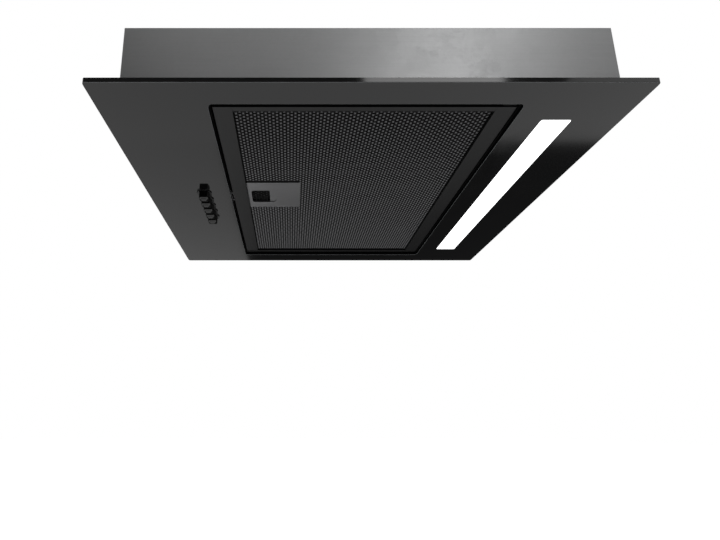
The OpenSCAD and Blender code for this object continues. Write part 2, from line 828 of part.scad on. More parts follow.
module loom_switch() {
    x = term_x - term_w / 2 - cable_r - 2;
    color([0.1, 0.1, 0.1]) wire([
        [term_x - term_w / 2 + 4, loom_y, loom_z],
        [x, loom_y, loom_z],
        [x, button_y, loom_z],
        [x, button_y, bank_h - 8],
        [button_x - bank_w / 2, button_y, bank_h - 8]
    ], cable_r);
}

module loom_led() {
    y = wall_b - sheet_t - cable_r - 8;
    color([0.1, 0.1, 0.1]) wire([
        [term_x + term_w / 2 - 4, loom_y, loom_z],
        [loom_x + cable_r, loom_y, loom_z],
        [loom_x + cable_r, y, loom_z],
        [led_x, y, loom_z],
        [led_x, led_y + driver_d / 2, loom_z]
    ], cable_r);
    lead_y = led_y + led_d / 2 + led_flange - lead_in;
    color([0.6, 0.1, 0.1]) wire([
        [led_x + lead_x, led_y + driver_d / 2, loom_z],
        [led_x + lead_x, lead_y, loom_z],
        [led_x + lead_x, lead_y, tray_h - 1]
    ], motor_lead_r);
}

module loom_motor() {
    x = -scroll_x - 18;
    color([0.2, 0.1, 0.08]) wire([
        [term_x + term_w / 2 - 4, loom_y - 8, loom_z],
        [x, loom_y - 8, loom_z],
        [x, fan_y, loom_z],
        [x, fan_y, fan_z - motor_d / 2 + 7.5],
        [motor_x - motor_l / 2, fan_y, fan_z - motor_d / 2 + 7.5]
    ], motor_lead_r);
}

// ---------------------------------------------------------------- switches

// Section of a button: a disc with two flats.
module button_section(grow = 0) {
    intersection() {
        circle(button_w / 2 + grow);
        square([button_w + 2 * grow + 1, button_d + 2 * grow], center = true);
    }
}

module button_row(i) {
    translate([button_x, button_y - row_l / 2 + i * button_pitch, 0]) children();
}

// The scalloped face of the bezel: one pointed lens round each button.
module bezel_face() {
    half_l = button_pitch / 2 + 1;
    reach = bezel_w / 2;
    lens_r = (reach * reach + half_l * half_l) / (2 * half_l);
    for (i = [0 : button_n - 1])
        translate([0, -row_l / 2 + i * button_pitch]) intersection() {
            translate([0, lens_r - half_l]) circle(lens_r);
            translate([0, half_l - lens_r]) circle(lens_r);
        }
}

module button_bezel() {
    color([0.03, 0.03, 0.03]) difference() {
        translate([button_x, button_y, 0]) {
            translate([0, 0, glass_z - bezel_t]) linear_extrude(bezel_t) bezel_face();
            translate([0, 0, glass_z - bezel_t]) linear_extrude(bezel_t) rounded(slot_w - 1, slot_d - 4, 3);
            plate(slot_w, slot_d, 3, glass_z, flange_z - seat_gap);
        }
        for (i = [0 : button_n - 1])
            button_row(i) translate([0, 0, glass_z - bezel_t - 1])
                linear_extrude(40) button_section(seat_gap);
    }
}

module switch_bank() {
    color([0.1, 0.1, 0.1]) difference() {
        translate([button_x, button_y, 0]) plate(bank_w, bank_d, 3, 0, bank_h);
        translate([button_x, button_y, 0])
            plate(bank_w - 2 * bank_t, bank_d - 2 * bank_t, 2, -1, bank_h - bank_t);
        for (i = [0 : button_n - 1])
            button_row(i) cylinder(r = stem_r + seat_gap, h = bank_h + 1, $fn = 48);
    }
}

module push_button(i) {
    tip = glass_z - button_out;
    color([0.02, 0.02, 0.02]) button_row(i) {
        translate([0, 0, tip]) linear_extrude(flange_z + flange_t - tip) button_section();
        translate([0, 0, flange_z]) linear_extrude(flange_t) button_section(0.6);
        translate([0, 0, flange_z]) cylinder(r = stem_r, h = bank_h - flange_z + 1, $fn = 48);
    }
}

module push_button_1() { push_button(0); }
module push_button_2() { push_button(1); }
module push_button_3() { push_button(2); }
module push_button_4() { push_button(3); }
module push_button_5() { push_button(4); }

module button_springs() {
    z0 = flange_z + flange_t;
    color([0.8, 0.8, 0.82])
        for (i = [0 : button_n - 1])
            button_row(i) translate([0, 0, z0]) coil(3.2, bank_h - bank_t - z0, 4, spring_wire, 10);
}

// ---------------------------------------------------------------- light

module led_diffuser() {
    color([0.97, 0.97, 0.95]) translate([led_x, led_y, 0]) {
        plate(led_w, led_d, 1.8, glass_z + 0.2, -carrier_t);
        plate(led_w + 2 * led_flange, led_d + 2 * led_flange, 3, -carrier_t, 0);
    }
}

module led_tray() {
    w = led_w + 2 * led_flange;
    d = led_d + 2 * led_flange;
    color([0.9, 0.9, 0.9]) translate([led_x, led_y, 0]) difference() {
        union() {
            plate(w + 2 * tray_lip, d + 2 * tray_lip, 3, 0, 1);
            plate(w - 2, d - 2, 3, 0, tray_h);
        }
        plate(w - 4, d - 4, 2, -1, tray_h - 1);
        translate([lead_x, d / 2 - lead_in, 0]) cylinder(r = motor_lead_r + 1, h = tray_h + 1, $fn = 48);
    }
}

module led_board() {
    chips = floor(led_d / 14);
    color([0.85, 0.88, 0.85]) translate([led_x, led_y, 0]) {
        plate(led_w - 4, led_d - 8, 1, tray_h - 2.6, tray_h - 1);
        for (i = [0 : chips - 1], s = [-1, 1])
            translate([s * led_w / 5, (i - (chips - 1) / 2) * 14, tray_h - 3])
                cube([3.5, 3.5, 0.9], center = true);
    }
}

// ---------------------------------------------------------------- filter

// Places a piece that is drawn about the filter's own middle.
module at_filter() {
    translate([0, filter_y, 0]) children();
}

// Places a piece that is drawn about the latch's own middle.
module at_latch() {
    translate([0, latch_c, 0]) children();
}

module filter_slot(x0, x1, y0, y1) {
    block(x0, x1, y0, y1, slot_z, slot_z + slot_h);
}

module filter_cap_left() {
    y = nose_d / 2 + seat_gap;
    color([0.13, 0.13, 0.14]) difference() {
        at_filter() difference() {
            block(filter_l, filter_l + cap_w, -filter_d / 2, filter_d / 2, filter_z, filter_top);
            filter_slot(filter_l + frame_wall, filter_l + cap_w + 1, -filter_d / 2 - 1, filter_d / 2 + 1);
        }
        at_latch()
            block(filter_l - 1, filter_l + 3, -y, y, tab_z - seat_gap, tab_z + nose_h + seat_gap);
    }
}

module filter_cap_right() {
    color([0.13, 0.13, 0.14]) at_filter() difference() {
        block(filter_rt - cap_w, filter_rt, -filter_d / 2, filter_d / 2, filter_z, filter_top);
        filter_slot(filter_rt - cap_w - 1, filter_rt - frame_wall, -filter_d / 2 - 1, filter_d / 2 + 1);
    }
}

module filter_rails() {
    x0 = filter_l + cap_w;
    x1 = filter_rt - cap_w;
    y = filter_d / 2;
    color([0.13, 0.13, 0.14]) at_filter() for (m = [0, 1]) mirror([0, m, 0]) difference() {
        block(x0, x1, y - rail_w, y, filter_z, filter_top);
        filter_slot(x0 - 1, x1 + 1, y - rail_w - 1, y - frame_wall);
    }
}

// Blocks in the corners of the frame. The right-hand pair carries the pivot pins.
module filter_corner_keys() {
    y1 = filter_d / 2;
    y0 = y1 - 10;
    color([0.06, 0.06, 0.06]) at_filter() for (m = [0, 1]) mirror([0, m, 0]) {
        block(filter_l + frame_wall, mesh_l - 0.5, y0, y1, slot_z, slot_z + slot_h);
        block(mesh_rt + 0.5, filter_rt - frame_wall, y0, y1, slot_z, slot_z + slot_h);
        translate([pivot_x, y1, pivot_z]) rotate([-90, 0, 0])
            cylinder(r = pivot_r, h = (m == 0 ? back_gap : front_gap) - seat_gap, $fn = 48);
    }
}

// A mesh sheet between the frame's channels, open where the latch sits.
module mesh_sheet(z0, z1, near) {
    difference() {
        at_filter() block(mesh_l, mesh_rt, -mesh_y, mesh_y, z0, z1);
        at_latch() block(mesh_l - 1, latch_rt + 0.3, -latch_y - near, latch_y + 0.3, z0 - 1, z1 + 1);
    }
}

module filter_mesh_outer() {
    color([0.22, 0.22, 0.23]) mesh_sheet(slot_z + sheet_clear, slot_z + sheet_clear + mesh_t, 3.2);
}

module filter_mesh_core() {
    color([0.4, 0.4, 0.41]) mesh_sheet(core_z, core_z + core_h, 0.3);
}

module filter_mesh_inner() {
    color([0.22, 0.22, 0.23])
        mesh_sheet(slot_z + slot_h - sheet_clear - mesh_t, slot_z + slot_h - sheet_clear, 0.3);
}

// ---------------------------------------------------------------- latch

// Finger hole: small round corners at the left, large ones at the right-hand far side.
module finger_hole(z0, z1) {
    r = 3;
    far_r = 7;
    translate([0, 0, z0]) linear_extrude(z1 - z0) difference() {
        translate([hole_l + hole_w / 2, hole_y]) rounded(hole_w, hole_d, r);
        translate([hole_rt - far_r, hole_y + hole_d / 2 - far_r]) difference() {
            square(far_r + 1);
            circle(far_r);
        }
    }
}

module latch_plate() {
    color([0.34, 0.34, 0.35]) at_latch() difference() {
        translate([latch_l + latch_w / 2, 0, 0])
            plate(latch_w, latch_d, 1.5, latch_z, latch_z + latch_t);
        finger_hole(latch_z - 1, latch_z + latch_t + 1);
    }
}

module latch_housing() {
    z0 = latch_z + latch_t;
    z1 = slot_z + slot_h - 0.2;
    y = latch_y - cup_wall;
    nose_y = nose_d / 2 + seat_gap;
    color([0.07, 0.07, 0.07]) at_latch() difference() {
        block(latch_l, latch_rt, -latch_y, latch_y, z0, z1);
        block(latch_l + cup_wall, latch_rt - cup_wall, -y, y, z0 - 1, z1 - cup_wall);
        block(latch_l - 1, latch_l + 2, -nose_y, nose_y, tab_z - seat_gap, tab_z + nose_h + seat_gap);
    }
}

module latch_slider() {
    arm_l = filter_l - nose_out;
    y = slider_d / 2;
    color([0.36, 0.36, 0.37]) at_latch() difference() {
        union() {
            block(tab_l, slider_rt, hole_y - y, hole_y + y, tab_z, tab_z + tab_t);
            block(tab_l, tab_l + 1.2, hole_y - y, hole_y + y, tab_z, tab_z + 2.6);
            block(latch_l + 2, tab_l + 1.2, hole_y + hole_d / 2 + 0.6, hole_y + y, tab_z, tab_z + nose_h);
            block(latch_l + 2, tab_l + 1.2, hole_y - y, hole_y - hole_d / 2 - 0.6, tab_z, tab_z + nose_h);
            block(latch_l + 2, hole_l - 0.5, hole_y - y, hole_y + y, tab_z, tab_z + nose_h);
            block(arm_l, latch_l + 3, -nose_d / 2, nose_d / 2, tab_z, tab_z + nose_h);
            block(slider_rt - 1.5, slider_rt, hole_y - 4, hole_y + 4, tab_z, tab_z + nose_h);
        }
        block(tab_l + 3, slider_rt + 1, hole_y - y - 1, hole_y - y + 2, tab_z - 1, tab_z + 4);
    }
}

module latch_spring() {
    wall = latch_rt - cup_wall;
    color([0.8, 0.8, 0.82])
        translate([slider_rt, latch_c + hole_y, tab_z + nose_h / 2 + 0.2]) rotate([0, 90, 0])
        coil(1.1, wall - slider_rt, 8, 0.2, 8);
}

// A gripping clip on the window's left lip. Its two leaves hold the nose from front and back.
module latch_keeper() {
    x0 = window_l;
    y0 = nose_d / 2 + seat_gap;
    color([0.5, 0.5, 0.52]) at_latch() {
        block(x0, x0 + 0.5, -nose_d / 2 - 5, nose_d / 2 + 5, 0, lip_h - 0.5);
        for (m = [0, 1])
            mirror([0, m, 0]) block(x0, filter_l - 0.5, y0, y0 + 1, 0, lip_h - 0.5);
    }
}

// Brackets on the window's front and back lips with an open-topped slot for each pivot pin.
module pivot_saddles() {
    y1 = window_d / 2;
    slot_r = pivot_r + pin_clear;
    color([0.08, 0.08, 0.08]) for (m = [0, 1]) mirror([0, m, 0]) {
        y0 = y1 - (m == 0 ? back_gap : front_gap) + seat_gap;
        difference() {
            block(pivot_x - 9, window_rt - window_r, y0, y1, 0, lip_h);
            translate([pivot_x, y0 - 1, pivot_z]) rotate([-90, 0, 0])
                cylinder(r = slot_r, h = y1 - y0 + 2, $fn = 64);
            block(pivot_x - slot_r, pivot_x + slot_r, y0 - 1, y1 + 1, pivot_z, lip_h + 1);
        }
    }
}

// ---------------------------------------------------------------- nodes

glass_panel();
panel_carrier();
casing_wrap();
end_plate_left();
end_plate_right();
upper_housing();
casing_screws();
housing_screws();
retaining_clip_left();
retaining_clip_right();
clip_screws();
outlet_spigot();
spigot_screws();
check_flap_front();
check_flap_back();
flap_pin();
scroll_left();
scroll_right();
inlet_rings();
impeller();
motor_shaft();
motor();
motor_bearings();
motor_bracket();
motor_bushes();
capacitor();
capacitor_clip();
terminal_box();
terminal_box_lid();
terminal_block();
cable_gland();
gland_nut();
switch_bank();
button_bezel();
push_button_1();
push_button_2();
push_button_3();
push_button_4();
push_button_5();
button_springs();
led_diffuser();
led_board();
led_tray();
led_driver();
loom_switch();
loom_led();
loom_motor();
filter_cap_left();
filter_cap_right();
filter_rails();
filter_corner_keys();
filter_mesh_outer();
filter_mesh_core();
filter_mesh_inner();
latch_plate();
latch_housing();
latch_slider();
latch_spring();
latch_keeper();
pivot_saddles();
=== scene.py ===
"""Looks of a built-in cooker hood: black glass panel, galvanised casing, mesh filter, buttons and light.

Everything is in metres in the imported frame: the origin is the middle of the panel's upper face, +X runs
towards the light, +Y towards the wall and +Z up. Each sub-assembly is a class that builds its own pieces
around the CAD nodes, dresses both in procedural finishes and reports what it made.
"""

import logging
import math
from dataclasses import dataclass, field
from enum import Enum

import bmesh
import bpy
import numpy as np
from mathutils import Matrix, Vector


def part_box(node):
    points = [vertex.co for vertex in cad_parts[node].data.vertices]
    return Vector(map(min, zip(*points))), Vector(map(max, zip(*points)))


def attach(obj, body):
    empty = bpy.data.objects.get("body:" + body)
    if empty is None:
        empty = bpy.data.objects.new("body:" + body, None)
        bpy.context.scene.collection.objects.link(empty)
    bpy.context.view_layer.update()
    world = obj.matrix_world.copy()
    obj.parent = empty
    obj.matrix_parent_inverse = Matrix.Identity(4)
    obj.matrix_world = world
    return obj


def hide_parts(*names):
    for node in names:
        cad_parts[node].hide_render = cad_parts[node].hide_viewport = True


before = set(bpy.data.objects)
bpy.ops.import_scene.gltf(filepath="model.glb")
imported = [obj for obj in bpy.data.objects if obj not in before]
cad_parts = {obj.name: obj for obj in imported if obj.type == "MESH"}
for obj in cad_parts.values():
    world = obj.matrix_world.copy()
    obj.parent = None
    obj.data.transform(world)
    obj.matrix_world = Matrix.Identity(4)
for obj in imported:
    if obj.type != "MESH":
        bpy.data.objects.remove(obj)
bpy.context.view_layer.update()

LOG = logging.getLogger("hood")
MM = 0.001
BOND_PITCH = 8.65  # millimetres between the bonds along a strand of the filter's mesh
Colour = tuple[float, float, float]


class Grain(Enum):
    """The surface pattern that a finish is worked with."""

    SMEARED = "smeared glass"
    SPANGLE = "zinc spangle"
    BRUSHED = "brushed lines"
    MOULDED = "moulded grain"
    SHEARED = "strand bond highlight"
    FIBRES = "matted fibres"


class Tree:
    """A shader node tree that is written one node at a time.

    Args:
        tree: The node tree to write into.
    """

    def __init__(self, tree: bpy.types.NodeTree) -> None:
        self.tree = tree

    def node(self, kind: str, inputs: dict | None = None, **settings) -> bpy.types.Node:
        """Adds one node and wires it.

        Args:
            kind: The node's type name.
            inputs: Socket name or number to a value, or to the output socket that feeds it.
            settings: Properties of the node, such as its operation.

        Returns:
            The new node.
        """
        made = self.tree.nodes.new(kind)
        for name, value in settings.items():
            setattr(made, name, value)
        for key, value in (inputs or {}).items():
            if isinstance(value, bpy.types.NodeSocket):
                self.tree.links.new(value, made.inputs[key])
            else:
                made.inputs[key].default_value = value
        return made

    def math(self, operation: str, first, second=0.0, third=0.0) -> bpy.types.NodeSocket:
        """Returns the output of a clamped Math node that works on up to three values or sockets."""
        made = self.node("ShaderNodeMath", {0: first, 1: second, 2: third}, operation=operation, use_clamp=True)
        return made.outputs[0]

    def noise(self, vector, scale: float, detail: float = 3.0,
              stretch: Colour = (1, 1, 1)) -> bpy.types.NodeSocket:
        """Returns a noise value from 0 to 1 on coordinates stretched by the three factors."""
        turned = self.node("ShaderNodeMapping", {"Vector": vector, "Scale": stretch}).outputs[0]
        made = self.node("ShaderNodeTexNoise", {"Vector": turned, "Scale": scale, "Detail": detail})
        return made.outputs["Fac"]

    def ramp(self, value, low: float, high: float) -> bpy.types.NodeSocket:
        """Returns the value stretched so that low gives 0 and high gives 1, with a smooth step between."""
        made = self.node("ShaderNodeMapRange", {"Value": value, "From Min": low, "From Max": high},
                         interpolation_type="SMOOTHSTEP")
        return made.outputs[0]


class PatternGroups:
    """Shared pattern groups, each built once: Vector in, Tone, Mask and Height out.

    Tone mixes a finish's two colours, Mask moves its roughness and Height feeds its bump.
    """

    def __init__(self) -> None:
        self.built: dict[Grain, bpy.types.NodeTree] = {}
        self.marks = self._group("handling_marks", ("Mask",), self._handling_marks)
        self.grit = self._group("fine_grit", ("Height",), self._fine_grit)
        self.writers = {
            Grain.SMEARED: self._smeared,
            Grain.SPANGLE: self._spangle,
            Grain.BRUSHED: self._brushed,
            Grain.MOULDED: self._moulded,
            Grain.SHEARED: self._sheared,
            Grain.FIBRES: self._fibres,
        }

    def of(self, grain: Grain) -> bpy.types.NodeTree:
        """Returns the group of a grain and builds it the first time."""
        if grain not in self.built:
            name = grain.value.replace(" ", "_")
            self.built[grain] = self._group(name, ("Tone", "Mask", "Height"), self.writers[grain])
        return self.built[grain]

    def _group(self, name: str, outputs: tuple[str, ...], write) -> bpy.types.NodeTree:
        """Makes a group with a Vector and a Scale input, float outputs, and the nodes that write adds."""
        group = bpy.data.node_groups.new(name, "ShaderNodeTree")
        group.interface.new_socket("Vector", in_out="INPUT", socket_type="NodeSocketVector")
        scale = group.interface.new_socket("Scale", in_out="INPUT", socket_type="NodeSocketFloat")
        scale.default_value = 1.0
        for output in outputs:
            group.interface.new_socket(output, in_out="OUTPUT", socket_type="NodeSocketFloat")
        tree = Tree(group)
        source = tree.node("NodeGroupInput")
        sized = tree.node("ShaderNodeVectorMath", {0: source.outputs["Vector"]}, operation="SCALE")
        group.links.new(source.outputs["Scale"], sized.inputs["Scale"])
        tree.node("NodeGroupOutput", dict(zip(outputs, write(tree, sized.outputs[0]))))
        return group

    def _use(self, tree: Tree, group: bpy.types.NodeTree, vector, scale: float) -> bpy.types.Node:
        """Places a shared group inside another tree with its own scale."""
        made = tree.node("ShaderNodeGroup", node_tree=group)
        tree.tree.links.new(vector, made.inputs["Vector"])
        made.inputs["Scale"].default_value = scale
        return made

    def _handling_marks(self, tree: Tree, vector) -> tuple:
        """Wiped patches: large soft noise broken up by a finer one."""
        patches = tree.ramp(tree.noise(vector, 7.0, 2.0), 0.42, 0.68)
        return (tree.math("MULTIPLY", patches, tree.ramp(tree.noise(vector, 46.0, 4.0), 0.3, 0.7)),)

    def _fine_grit(self, tree: Tree, vector) -> tuple:
        """Fine even grit, as moulding and rolling leave."""
        return (tree.noise(vector, 2400.0, 2.0),)

    def _smeared(self, tree: Tree, vector) -> tuple:
        """Glass: nearly even, with faint wiped patches and no relief but the slightest waviness."""
        marks = self._use(tree, self.marks, vector, 1.0).outputs["Mask"]
        return marks, marks, tree.noise(vector, 9.0, 1.0)

    def _spangle(self, tree: Tree, vector) -> tuple:
        """Hot-dip zinc: faint crystals with feathered borders, crossed by fine rolling lines along X."""
        wobble = tree.node("ShaderNodeTexNoise", {"Vector": vector, "Scale": 120.0, "Detail": 3.0})
        shifted = tree.node("ShaderNodeMix", {0: 0.05, 4: vector, 5: wobble.outputs["Color"]},
                            data_type="VECTOR")
        cells = []
        for scale in (60.0, 150.0):
            crystal = tree.node("ShaderNodeTexVoronoi", {"Vector": shifted.outputs[1], "Scale": scale},
                                feature="SMOOTH_F1")
            crystal.inputs["Smoothness"].default_value = 0.35
            cells.append(tree.node("ShaderNodeSeparateColor", {0: crystal.outputs["Color"]}).outputs[0])
        mixed = tree.math("MULTIPLY_ADD", cells[1], 0.45, tree.math("MULTIPLY", cells[0], 0.55))
        clouds = tree.noise(vector, 14.0, 3.0)
        rolled = tree.noise(vector, 700.0, 3.0, (0.02, 1.0, 1.0))
        worn = tree.math("MULTIPLY_ADD", clouds, 0.3, tree.math("MULTIPLY", rolled, 0.5))
        tone = tree.math("MULTIPLY_ADD", mixed, 0.35, worn)
        grit = self._use(tree, self.grit, vector, 0.5).outputs["Height"]
        height = tree.math("MULTIPLY_ADD", grit, 0.35, tree.math("MULTIPLY", mixed, 0.6))
        return tone, cells[0], height

    def _brushed(self, tree: Tree, vector) -> tuple:
        """Rolled or brushed metal: noise stretched along X into lines."""
        lines = tree.noise(vector, 900.0, 3.0, (0.03, 1.0, 1.0))
        marks = self._use(tree, self.marks, vector, 1.5).outputs["Mask"]
        return tree.math("MULTIPLY_ADD", marks, 0.5, tree.math("MULTIPLY", lines, 0.5)), lines, lines

    def _moulded(self, tree: Tree, vector) -> tuple:
        """Moulded plastic or powder coat: fine grit, with handling marks in tone and gloss."""
        marks = self._use(tree, self.marks, vector, 2.0).outputs["Mask"]
        return marks, marks, self._use(tree, self.grit, vector, 1.0).outputs["Height"]

    def _sheared(self, tree: Tree, vector) -> tuple:
        """Slit and stretched strands: a painted highlight makes the bonds bright and painted shade makes the legs
        between them dark.
        """
        place = tree.node("ShaderNodeSeparateXYZ", {0: vector}).outputs[0]
        folded = tree.node("ShaderNodeMath", {0: place, 1: BOND_PITCH / 4 * MM},
                           operation="PINGPONG").outputs[0]
        # Painted highlight at the bonds and painted shade on the legs; score adds random streaks.
        bond = tree.ramp(folded, BOND_PITCH / 5 * MM, BOND_PITCH / 14 * MM)
        score = tree.noise(vector, 1500.0, 2.0, (1.0, 0.1, 0.1))
        return tree.math("MULTIPLY", bond, tree.math("MULTIPLY_ADD", score, 0.5, 0.7)), score, score

    def _fibres(self, tree: Tree, vector) -> tuple:
        """Crushed strands packed in layers: distance to the borders of small irregular cells."""
        cells = tree.node("ShaderNodeTexVoronoi", {"Vector": vector, "Scale": 260.0},
                          feature="DISTANCE_TO_EDGE")
        web = tree.ramp(cells.outputs["Distance"], 0.22, 0.02)
        return web, web, web


@dataclass(frozen=True)
class Finish:
    """One surface finish, built as a material the first time it is asked for.

    Args:
        name: Plain name of the finish.
        colour: Base colour where the pattern's tone is 0.
        tint: Base colour where the tone is 1.
        rough: Roughness where the pattern's mask is 0, and where it is 1.
        grain: The pattern.
        scale: Size of the pattern; 1 is its natural size, larger is finer.
        relief: Height of the bump in metres.
        metallic: Metalness.
        coat: Weight of a clear gloss coat.
        specular: Specular level.
        glow: Emission strength, in the base colour.
    """

    name: str
    colour: Colour
    tint: Colour
    rough: tuple[float, float]
    grain: Grain = Grain.MOULDED
    scale: float = 1.0
    relief: float = 0.00002
    metallic: float = 0.0
    coat: float = 0.0
    specular: float = 0.5
    glow: float = 0.0

    def material(self, patterns: PatternGroups) -> bpy.types.Material:
        """Returns the finish as a material.

        Args:
            patterns: The shared pattern groups.
        """
        known = bpy.data.materials.get(self.name)
        if known:
            return known
        made = bpy.data.materials.new(self.name)
        made.use_nodes = True
        made.node_tree.nodes.clear()
        tree = Tree(made.node_tree)
        place = tree.node("ShaderNodeTexCoord").outputs["Object"]
        pattern = tree.node("ShaderNodeGroup", node_tree=patterns.of(self.grain))
        made.node_tree.links.new(place, pattern.inputs["Vector"])
        pattern.inputs["Scale"].default_value = self.scale
        mixed = tree.node("ShaderNodeMix", {
            0: pattern.outputs["Tone"], 6: (*self.colour, 1), 7: (*self.tint, 1),
        }, data_type="RGBA")
        rough = tree.math("MULTIPLY_ADD", pattern.outputs["Mask"], self.rough[1] - self.rough[0], self.rough[0])
        bump = tree.node("ShaderNodeBump", {"Height": pattern.outputs["Height"], "Distance": self.relief})
        shader = tree.node("ShaderNodeBsdfPrincipled", {
            "Base Color": mixed.outputs[2], "Roughness": rough, "Normal": bump.outputs[0],
            "Metallic": self.metallic, "Coat Weight": self.coat, "Coat Roughness": 0.04,
            "Specular IOR Level": self.specular, "Emission Strength": self.glow,
        })
        if self.glow:
            made.node_tree.links.new(mixed.outputs[2], shader.inputs["Emission Color"])
        tree.node("ShaderNodeOutputMaterial", {"Surface": shader.outputs[0]})
        return made


BLACK_GLASS = Finish("black_float_glass", (0.0030, 0.0031, 0.0033), (0.0042, 0.0042, 0.0044), (0.085, 0.12),
                     Grain.SMEARED, relief=0.000002, specular=0.5)
ARRIS = Finish("ground_arris", (0.12, 0.125, 0.13), (0.17, 0.175, 0.18), (0.42, 0.55), Grain.MOULDED)
GALVANISED = Finish("galvanised_sheet", (0.36, 0.363, 0.366), (0.46, 0.463, 0.466), (0.44, 0.5), Grain.SPANGLE,
                    relief=0.00002, metallic=1.0)
BLACK_PAINT = Finish("black_powder_coat", (0.008, 0.008, 0.008), (0.014, 0.014, 0.014), (0.45, 0.6))
BLACK_PLASTIC = Finish("black_moulding", (0.012, 0.012, 0.0125), (0.022, 0.022, 0.023), (0.38, 0.52))
# Black moulding made darker and duller still: painted shade inside the finger pocket.
POCKET_BLACK = Finish("pocket_black_painted_shade", (0.0015, 0.0015, 0.0015), (0.0025, 0.0025, 0.0025), (0.7, 0.8),
                      specular=0.08)
GLOSS_BLACK = Finish("gloss_black_key", (0.0035, 0.0035, 0.0036), (0.006, 0.006, 0.006), (0.07, 0.14),
                     relief=0.000003)
GREY_PLASTIC = Finish("grey_moulding", (0.16, 0.165, 0.17), (0.2, 0.205, 0.21), (0.42, 0.58))
WHITE_PLASTIC = Finish("white_moulding", (0.72, 0.72, 0.69), (0.62, 0.62, 0.59), (0.35, 0.5))
WHITE_PAINT = Finish("white_reflector_paint", (0.86, 0.86, 0.85), (0.8, 0.8, 0.79), (0.4, 0.55))
OPAL = Finish("lit_opal_window", (1.0, 1.0, 1.0), (0.97, 0.98, 1.0), (0.35, 0.45), glow=1.6)
BRIGHT_STEEL = Finish("zinc_plated_steel", (0.56, 0.57, 0.58), (0.68, 0.69, 0.7), (0.24, 0.4), Grain.BRUSHED,
                      metallic=1.0)
SPRING_STEEL = Finish("spring_steel_strip", (0.3, 0.3, 0.31), (0.42, 0.42, 0.43), (0.28, 0.42), Grain.BRUSHED,
                      metallic=1.0)
ALUMINIUM = Finish("drawn_aluminium", (0.6, 0.61, 0.62), (0.72, 0.73, 0.74), (0.3, 0.42), Grain.BRUSHED,
                   metallic=1.0)
MOTOR_STEEL = Finish("motor_shell_steel", (0.34, 0.35, 0.36), (0.46, 0.47, 0.48), (0.3, 0.5), Grain.SPANGLE, 0.6,
                     metallic=1.0)
BRONZE = Finish("sintered_bronze", (0.42, 0.26, 0.12), (0.5, 0.33, 0.17), (0.35, 0.55), metallic=1.0)
RUBBER = Finish("black_rubber", (0.018, 0.018, 0.018), (0.03, 0.03, 0.03), (0.65, 0.8), relief=0.00004)
CIRCUIT = Finish("lacquered_circuit_board", (0.8, 0.82, 0.8), (0.7, 0.74, 0.72), (0.25, 0.4), coat=0.3)
SHEATH = Finish("grey_wire_sheath", (0.05, 0.05, 0.055), (0.08, 0.08, 0.085), (0.42, 0.55))
FILTER_FRAME = Finish("dark_anodised_frame", (0.0045, 0.0045, 0.0047), (0.0085, 0.0085, 0.0088), (0.36, 0.48),
                      Grain.BRUSHED, specular=0.4)
# Colour is the painted shade on the strand legs, tint is the painted highlight at the bonds.
FILTER_MESH = Finish("expanded_mesh_bond_highlight", (0.006, 0.006, 0.006), (0.15, 0.15, 0.154), (0.34, 0.5), Grain.SHEARED,
                     metallic=0.9)
# Near-black, dull core: painted shade that shows dark through the mesh holes.
CORE_MESH = Finish("packed_core_painted_shade", (0.002, 0.002, 0.002), (0.005, 0.005, 0.005), (0.6, 0.8), Grain.FIBRES,
                   relief=0.0003, specular=0.1)
LATCH_GREY = Finish("satin_latch_metal", (0.20, 0.20, 0.204), (0.25, 0.25, 0.254), (0.3, 0.42), Grain.BRUSHED,
                    metallic=0.8)


def grid_quads(rows: int, cols: int, first: int = 0) -> np.ndarray:
    """Quads of a grid of points whose columns close on themselves.

    Args:
        rows: Points along the open direction.
        cols: Points round the closed direction.
        first: Index of the grid's first point.

    Returns:
        An array of (rows - 1) * cols quads.
    """
    r, c = np.meshgrid(np.arange(rows - 1), np.arange(cols), indexing="ij")
    near, far = first + r * cols, first + (r + 1) * cols
    after = (c + 1) % cols
    return np.stack([near + c, near + after, far + after, far + c], axis=-1).reshape(-1, 4)


